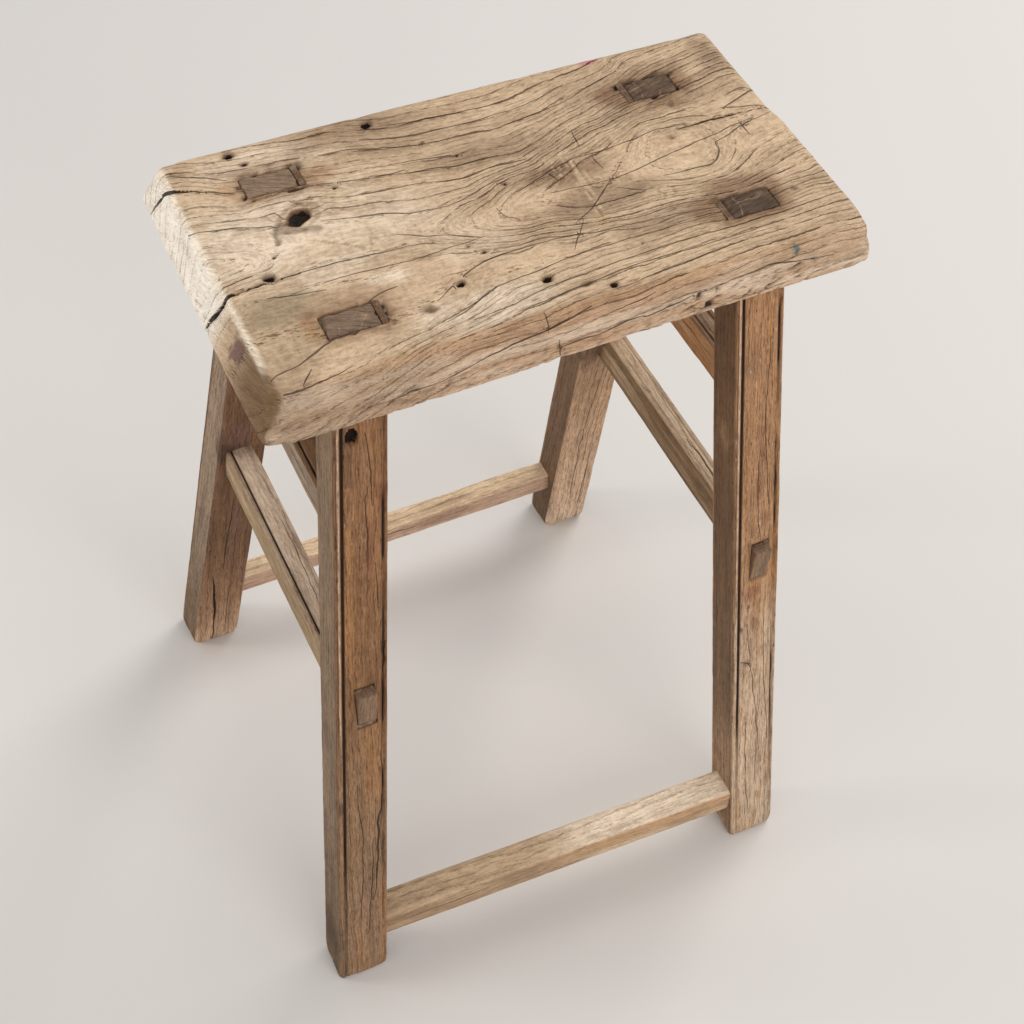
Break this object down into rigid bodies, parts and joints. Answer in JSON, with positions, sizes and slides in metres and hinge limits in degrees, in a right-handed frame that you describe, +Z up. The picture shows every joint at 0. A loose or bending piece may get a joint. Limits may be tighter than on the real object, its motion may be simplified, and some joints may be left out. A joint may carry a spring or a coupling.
{
  "type": "wooden milking stool",
  "caption": "Low rectangular wooden stool with splayed legs, through tenons in a thick worn plank seat, low long stretchers and paired side stretchers.",
  "frame": {"origin": "on the floor, at the centre of the whole stool's bounding box", "axes": "+Z up, +X along the seat's long side to the right, -Y the front side with the front stretcher"},
  "size_m": [0.354, 0.3356, 0.5],
  "materials": {
    "elm_seat": "bare weathered elm, matt, grey-tan with open grain and checks",
    "elm_leg": "bare aged elm, matt, with old stain left in the mouldings",
    "elm_stretcher": "bare aged elm, matt, foot-worn",
    "elm_side_stretcher": "bare aged elm, matt",
    "wedge": "bare split hardwood, matt, grey end grain"
  },
  "bodies": {
    "root": {"seat": "elm_seat", "leg_front_left": "elm_leg", "leg_front_right": "elm_leg", "leg_back_left": "elm_leg", "leg_back_right": "elm_leg", "stretcher_front": "elm_stretcher", "stretcher_back": "elm_stretcher", "side_stretcher_lower_left": "elm_side_stretcher", "side_stretcher_lower_right": "elm_side_stretcher", "side_stretcher_upper_left": "elm_side_stretcher", "side_stretcher_upper_right": "elm_side_stretcher", "seat_wedge_front_left": "wedge", "seat_wedge_front_right": "wedge", "seat_wedge_back_left": "wedge", "seat_wedge_back_right": "wedge", "tenon_wedge_front_left": "wedge", "tenon_wedge_front_right": "wedge", "tenon_wedge_back_left": "wedge", "tenon_wedge_back_right": "wedge", "tenon_wedge_front_left_under": "wedge"}
  },
  "joints": []
}
